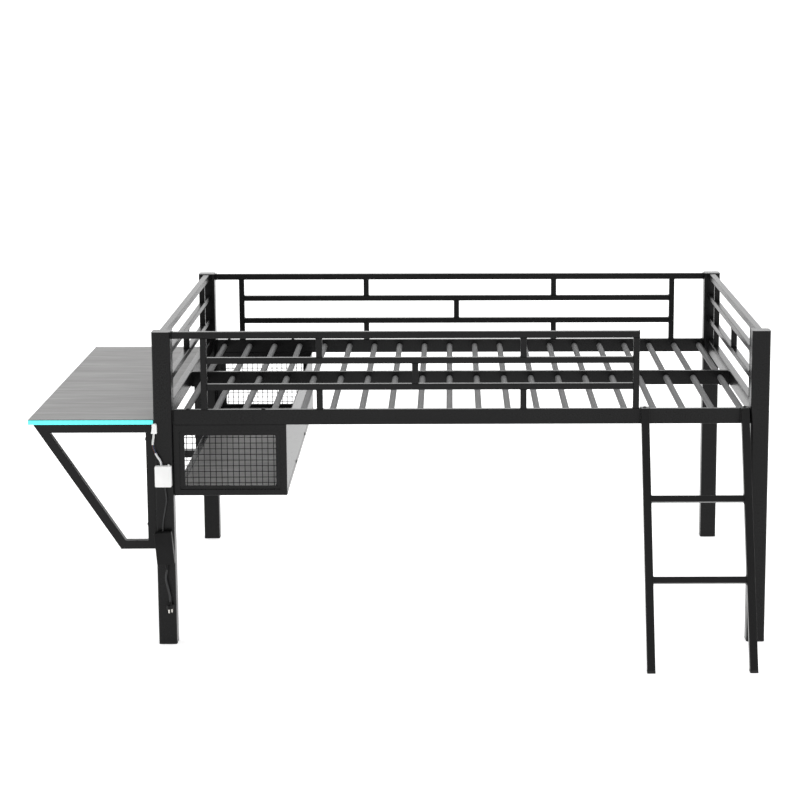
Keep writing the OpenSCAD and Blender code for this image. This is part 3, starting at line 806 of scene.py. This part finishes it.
# ---------------------------------------------------------------- light strip
# A soft silicone strip with a rounded face is glued along the board's front
# edge.  It glows cyan, a little brighter over each diode.
strip_low, strip_high = (Vector(c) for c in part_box("light_strip"))
diode_pitch = 0.0167
strip_glow, strip_shader = new_material("strip_glow", (0.08, 0.6, 0.57), 0.35)
strip_shader.inputs["Emission Color"].default_value = (0.1, 0.76, 0.735, 1.0)
glow_tree = strip_glow.node_tree
glow_place = glow_tree.nodes.new("ShaderNodeTexCoord")
glow_axes = glow_tree.nodes.new("ShaderNodeSeparateXYZ")
glow_turns = glow_tree.nodes.new("ShaderNodeMath")
glow_turns.operation = "MULTIPLY"
glow_turns.inputs[1].default_value = 2 * math.pi / diode_pitch
glow_wave = glow_tree.nodes.new("ShaderNodeMath")
glow_wave.operation = "SINE"
glow_level = glow_tree.nodes.new("ShaderNodeMapRange")
glow_level.inputs["From Min"].default_value = -1.0
glow_level.inputs["From Max"].default_value = 1.0
glow_level.inputs["To Min"].default_value = 0.84
glow_level.inputs["To Max"].default_value = 1.0
glow_tree.links.new(glow_place.outputs["Object"], glow_axes.inputs["Vector"])
glow_tree.links.new(glow_axes.outputs["X"], glow_turns.inputs[0])
glow_tree.links.new(glow_turns.outputs["Value"], glow_wave.inputs[0])
glow_tree.links.new(glow_wave.outputs["Value"], glow_level.inputs["Value"])
glow_tree.links.new(glow_level.outputs["Result"], strip_shader.inputs["Emission Strength"])
strip_mid = (strip_low + strip_high) / 2
strip_deep = strip_high.y - strip_low.y
strip_half = (strip_high.z - strip_low.z) / 2
strip_face = [(-strip_half, 0.0), (-strip_half, 0.45 * strip_deep)]
strip_face += [
    (-strip_half * math.cos(a), strip_deep * (0.45 + 0.55 * math.sin(a)))
    for a in [math.pi * k / 10 for k in range(1, 10)]
]
strip_face += [(strip_half, 0.45 * strip_deep), (strip_half, 0.0)]
strip_outline = [(-out, up) for up, out in strip_face]
strip_bm = bmesh.new()
loft_rows(
    strip_bm,
    [(x, strip_outline) for x in (strip_low.x, strip_mid.x, strip_high.x)],
    Matrix(((0, 0, 1, 0), (1, 0, 0, strip_high.y), (0, 1, 0, strip_mid.z), (0, 0, 0, 1))),
)
close_piece("light_strip_silicone", strip_bm, strip_glow, "light_strip")

# ---------------------------------------------------------------- light's controls
# A tapered connector clips round the strip's end.  Below it a white two-part
# shell with a small key on top is stuck to the post with a foam pad.
white_shell = moulded_plastic("white_shell", (0.9, 0.9, 0.895), (0.96, 0.96, 0.955), 0.38, 600.0)
paint("light_connector", white_shell)
soften("light_connector", 0.0016, 4)
pad_foam = moulded_plastic("pad_foam", (0.5, 0.5, 0.49), (0.62, 0.62, 0.61), 0.9, 1400.0, 0.0003)
paint("mounting_pads", pad_foam)
soften("mounting_pads", 0.0005)


def shell_halves(bm, place, width, height, corner, deep, seam):
    """Two shell halves that meet in a narrow groove, standing off the post."""
    half_gap, sunk, lap = 0.0003, 0.0014, 0.001
    moulded_block(bm, place, width, height, corner, 0.0, seam - half_gap, 0.0006)
    moulded_block(
        bm, place, width - sunk, height - sunk, corner, seam - lap, seam + lap, 0.0002
    )
    moulded_block(bm, place, width, height, corner, seam + half_gap, deep, 0.0022)


def facing_out(x, y, z, tilt=0.0):
    """A place whose level axis points out of the post's front face."""
    return (
        Matrix.Translation((x, y, z))
        @ Matrix.Rotation(math.radians(tilt), 4, "Y")
        @ Matrix.Rotation(math.radians(90), 4, "X")
    )


control_width = 0.0535
control_face = post_face - 0.003
controller_bm = bmesh.new()
shell_halves(
    controller_bm,
    facing_out(post_x, control_face, (control_low + control_high) / 2),
    control_width,
    control_high - control_low,
    0.0042,
    0.020,
    0.008,
)
key_x = post_x + control_width / 2 - 0.009
key_place = Matrix.Translation((key_x, control_face - 0.010, control_high))
key_rows = [(-0.001, 0.0035), (0.003, 0.0035), (0.0042, 0.0031), (0.005, 0.002)]
loft_rows(controller_bm, [(level, circle(radius)) for level, radius in key_rows], key_place)
close_piece("controller_shell", controller_bm, white_shell, "light_controller")

# ---------------------------------------------------------------- power adapter
# A black two-part shell on a second pad, a little tilted, with a ribbed
# tapered strain relief where the mains lead leaves it.
adapter_place = facing_out(post_x - 0.001, control_face, adapter_z, -4.7)
adapter_height = 0.108
adapter_bm = bmesh.new()
shell_halves(adapter_bm, adapter_place, 0.057, adapter_height, 0.0045, 0.030, 0.013)
close_piece("adapter_shell", adapter_bm, black_shell, "power_adapter")

relief_place = adapter_place @ Matrix.Rotation(math.radians(-90), 4, "X")
relief_bm = bmesh.new()
relief_rows = []
relief_length, relief_ribs = 0.020, 7
groove, groove_depth = 0.0009, 0.0008
for k in range(relief_ribs):
    level = relief_length * k / relief_ribs
    radius = 0.0037 + 0.0021 * k / (relief_ribs - 1)
    relief_rows += [
        (level, circle(radius - groove_depth)),
        (level + groove, circle(radius - groove_depth)),
        (level + groove, circle(radius)),
        (level + relief_length / relief_ribs, circle(radius)),
    ]
loft_rows(
    relief_bm,
    relief_rows,
    relief_place @ Matrix.Translation((0, -0.015, -adapter_height / 2 - relief_length)),
)
close_piece("adapter_strain_relief", relief_bm, black_shell, "adapter_gland")

# ---------------------------------------------------------------- wire mesh
# Welded round wires, uprights in front of cross wires, close each end of the
# box inside a flat rim.  One tree turns the lines of a grid into wire.
wire_tree, wire_in, wire_out = new_tree(
    "wire_grid",
    [("Wire Radius", "NodeSocketFloat", 0.00118), ("Material", "NodeSocketMaterial", None)],
)
wire_curve = wire_tree.nodes.new("GeometryNodeMeshToCurve")
wire_profile = wire_tree.nodes.new("GeometryNodeCurvePrimitiveCircle")
wire_profile.inputs["Resolution"].default_value = 10
wire_skin = wire_tree.nodes.new("GeometryNodeCurveToMesh")
wire_skin.inputs["Fill Caps"].default_value = True
wire_tree.links.new(wire_in.outputs["Geometry"], wire_curve.inputs["Mesh"])
wire_tree.links.new(wire_in.outputs["Wire Radius"], wire_profile.inputs["Radius"])
wire_tree.links.new(wire_curve.outputs["Curve"], wire_skin.inputs["Curve"])
wire_tree.links.new(wire_profile.outputs["Curve"], wire_skin.inputs["Profile Curve"])
finish_tree(wire_tree, wire_in, wire_out, wire_skin.outputs["Mesh"])


wire_coat = powder_coat("wire_powder_coat", (0.004, 0.004, 0.0042), (0.006, 0.006, 0.0062), 0.6)


def mesh_panel(name, node, inner_low, inner_high):
    """The grid of wires and the rim of one end of the box."""
    low, high = (Vector(c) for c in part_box(node))
    pitch, lap, rim_round = 0.0189, 0.002, 0.001
    middle_y = (low.y + high.y) / 2
    front_y, back_y = middle_y - 0.0009, middle_y + 0.0009
    wide, tall = inner_high.x - inner_low.x, inner_high.z - inner_low.z
    across, up = int(wide / pitch), int(tall / pitch)
    points = []
    for i in range(across + 1):
        x = inner_low.x + (wide - across * pitch) / 2 + i * pitch
        points += [(x, front_y, inner_low.z - lap), (x, front_y, inner_high.z + lap)]
    for j in range(up + 1):
        z = inner_low.z + (tall - up * pitch) / 2 + j * pitch
        points += [(inner_low.x - lap, back_y, z), (inner_high.x + lap, back_y, z)]
    lines = bpy.data.meshes.new(name + "_lines")
    lines.from_pydata(points, [(k, k + 1) for k in range(0, len(points), 2)], [])
    wires = run_tree(name + "_wires", lines, wire_tree, {"Material": wire_coat}, "bed")
    for face in wires.data.polygons:
        face.use_smooth = True
    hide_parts(node)

    inner = rounded_outline(wide, tall, 0.006)
    outer = rounded_outline(high.x - low.x, high.z - low.z, 0.0005)
    off_x = (inner_low.x + inner_high.x - low.x - high.x) / 2
    off_z = (inner_low.z + inner_high.z - low.z - high.z) / 2
    deep = (high.y - low.y) / 2
    bm = bmesh.new()
    rings = []
    section = [(0, rim_round - deep), (0.06, -deep), (1, -deep)]
    section += [(share, -y) for share, y in reversed(section)]
    for share, y in section:
        ring = []
        for (ax, az), (bx, bz) in zip(inner, outer):
            x = (ax + off_x) * (1 - share) + bx * share + (low.x + high.x) / 2
            z = (az + off_z) * (1 - share) + bz * share + (low.z + high.z) / 2
            ring.append(bm.verts.new((x, middle_y + y, z)))
        rings.append(ring)
    count = len(inner)
    for near, far in zip(rings, rings[1:] + rings[:1]):
        for k in range(count):
            bm.faces.new((near[k], near[(k + 1) % count], far[(k + 1) % count], far[k]))
    close_piece(name + "_rim", bm, black_coat, node)


frame_low, frame_high = (Vector(c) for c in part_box("box_front_frame"))
tube, rim = 0.020, 0.0155
mesh_low = Vector((frame_low.x + tube + rim, 0, frame_low.z + tube + rim - 0.004))
mesh_high = Vector((frame_high.x - tube - rim, 0, frame_high.z - tube - rim))
mesh_panel("front_mesh", "box_front_mesh", mesh_low, mesh_high)
mesh_panel("rear_mesh", "box_rear_mesh", mesh_low, mesh_high)

# ---------------------------------------------------------------- bolts
# Low domed heads with a hexagon socket on a thin flange hold the frame, the
# brackets and the box; the ladder's hooks are riveted.  One tree sets them.
bolt_tree, bolt_in, bolt_out = new_tree(
    "bolt_heads",
    [
        ("Head Radius", "NodeSocketFloat", 0.0065),
        ("Turn", "NodeSocketVector", (0.0, 0.0, 0.0)),
        ("Material", "NodeSocketMaterial", None),
    ],
)
bolt_points = bolt_tree.nodes.new("GeometryNodeMeshToPoints")
bolt_flange = bolt_tree.nodes.new("GeometryNodeMeshCone")
bolt_flange.inputs["Vertices"].default_value = 28
bolt_flange.inputs["Radius Bottom"].default_value = 1.0
bolt_flange.inputs["Radius Top"].default_value = 0.94
bolt_flange.inputs["Depth"].default_value = 0.2
bolt_dome = bolt_tree.nodes.new("GeometryNodeMeshCone")
bolt_dome.inputs["Vertices"].default_value = 28
bolt_dome.inputs["Radius Bottom"].default_value = 0.84
bolt_dome.inputs["Radius Top"].default_value = 0.55
bolt_dome.inputs["Depth"].default_value = 0.26
bolt_dome_lift = bolt_tree.nodes.new("GeometryNodeTransform")
bolt_dome_lift.inputs["Translation"].default_value = (0.0, 0.0, 0.19)
bolt_socket = bolt_tree.nodes.new("GeometryNodeMeshCone")
bolt_socket.inputs["Vertices"].default_value = 6
bolt_socket.inputs["Radius Bottom"].default_value = 0.36
bolt_socket.inputs["Radius Top"].default_value = 0.33
bolt_socket.inputs["Depth"].default_value = 0.04
bolt_socket_lift = bolt_tree.nodes.new("GeometryNodeTransform")
bolt_socket_lift.inputs["Translation"].default_value = (0.0, 0.0, 0.44)
bolt_whole = bolt_tree.nodes.new("GeometryNodeJoinGeometry")
bolt_lay = bolt_tree.nodes.new("GeometryNodeInstanceOnPoints")
bolt_tree.links.new(bolt_in.outputs["Geometry"], bolt_points.inputs["Mesh"])
bolt_tree.links.new(bolt_dome.outputs["Mesh"], bolt_dome_lift.inputs["Geometry"])
bolt_tree.links.new(bolt_socket.outputs["Mesh"], bolt_socket_lift.inputs["Geometry"])
bolt_tree.links.new(bolt_flange.outputs["Mesh"], bolt_whole.inputs["Geometry"])
bolt_tree.links.new(bolt_dome_lift.outputs["Geometry"], bolt_whole.inputs["Geometry"])
bolt_tree.links.new(bolt_socket_lift.outputs["Geometry"], bolt_whole.inputs["Geometry"])
bolt_tree.links.new(bolt_points.outputs["Points"], bolt_lay.inputs["Points"])
bolt_tree.links.new(bolt_whole.outputs["Geometry"], bolt_lay.inputs["Instance"])
bolt_tree.links.new(bolt_in.outputs["Turn"], bolt_lay.inputs["Rotation"])
bolt_tree.links.new(bolt_in.outputs["Head Radius"], bolt_lay.inputs["Scale"])
finish_tree(bolt_tree, bolt_in, bolt_out, bolt_lay.outputs["Instances"])

bolt_coat = powder_coat("bolt_black", (0.01, 0.01, 0.0102), (0.016, 0.016, 0.0162), 0.36)


def set_bolts(name, node, way, radius, body, keep=lambda x: True):
    """Puts heads where a node of the frame has them, facing along one axis."""
    axis = max(range(3), key=lambda i: abs(way[i]))
    points = []
    for low, high in solid_boxes(node):
        point = (low + high) / 2
        point[axis] = low[axis] if way[axis] > 0 else high[axis]
        if keep(point.x):
            points.append(point)
    heads = bpy.data.meshes.new(name + "_points")
    heads.from_pydata(points, [], [])
    turn = Vector((0, 0, 1)).rotation_difference(Vector(way)).to_euler()
    values = {"Head Radius": radius, "Turn": list(turn), "Material": bolt_coat}
    piece = run_tree(name, heads, bolt_tree, values, body)
    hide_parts(node)


set_bolts("bed_bolts_left", "bed_bolts", (-1, 0, 0), 0.0065, "bed", lambda x: x < bed_middle.x)
set_bolts("bed_bolts_right", "bed_bolts", (1, 0, 0), 0.0065, "bed", lambda x: x > bed_middle.x)
set_bolts("desk_bracket_bolts", "desk_bolts", (-1, 0, 0), 0.007, "bed")
set_bolts("box_hanger_heads", "box_hanger_bolts", (0, 0, 1), 0.007, "bed")
set_bolts("box_panel_bolts", "box_bolts", (1, 0, 0), 0.006, "bed")
set_bolts("ladder_hook_rivets", "ladder_rivets", (0, 0, 1), 0.006, "ladder")
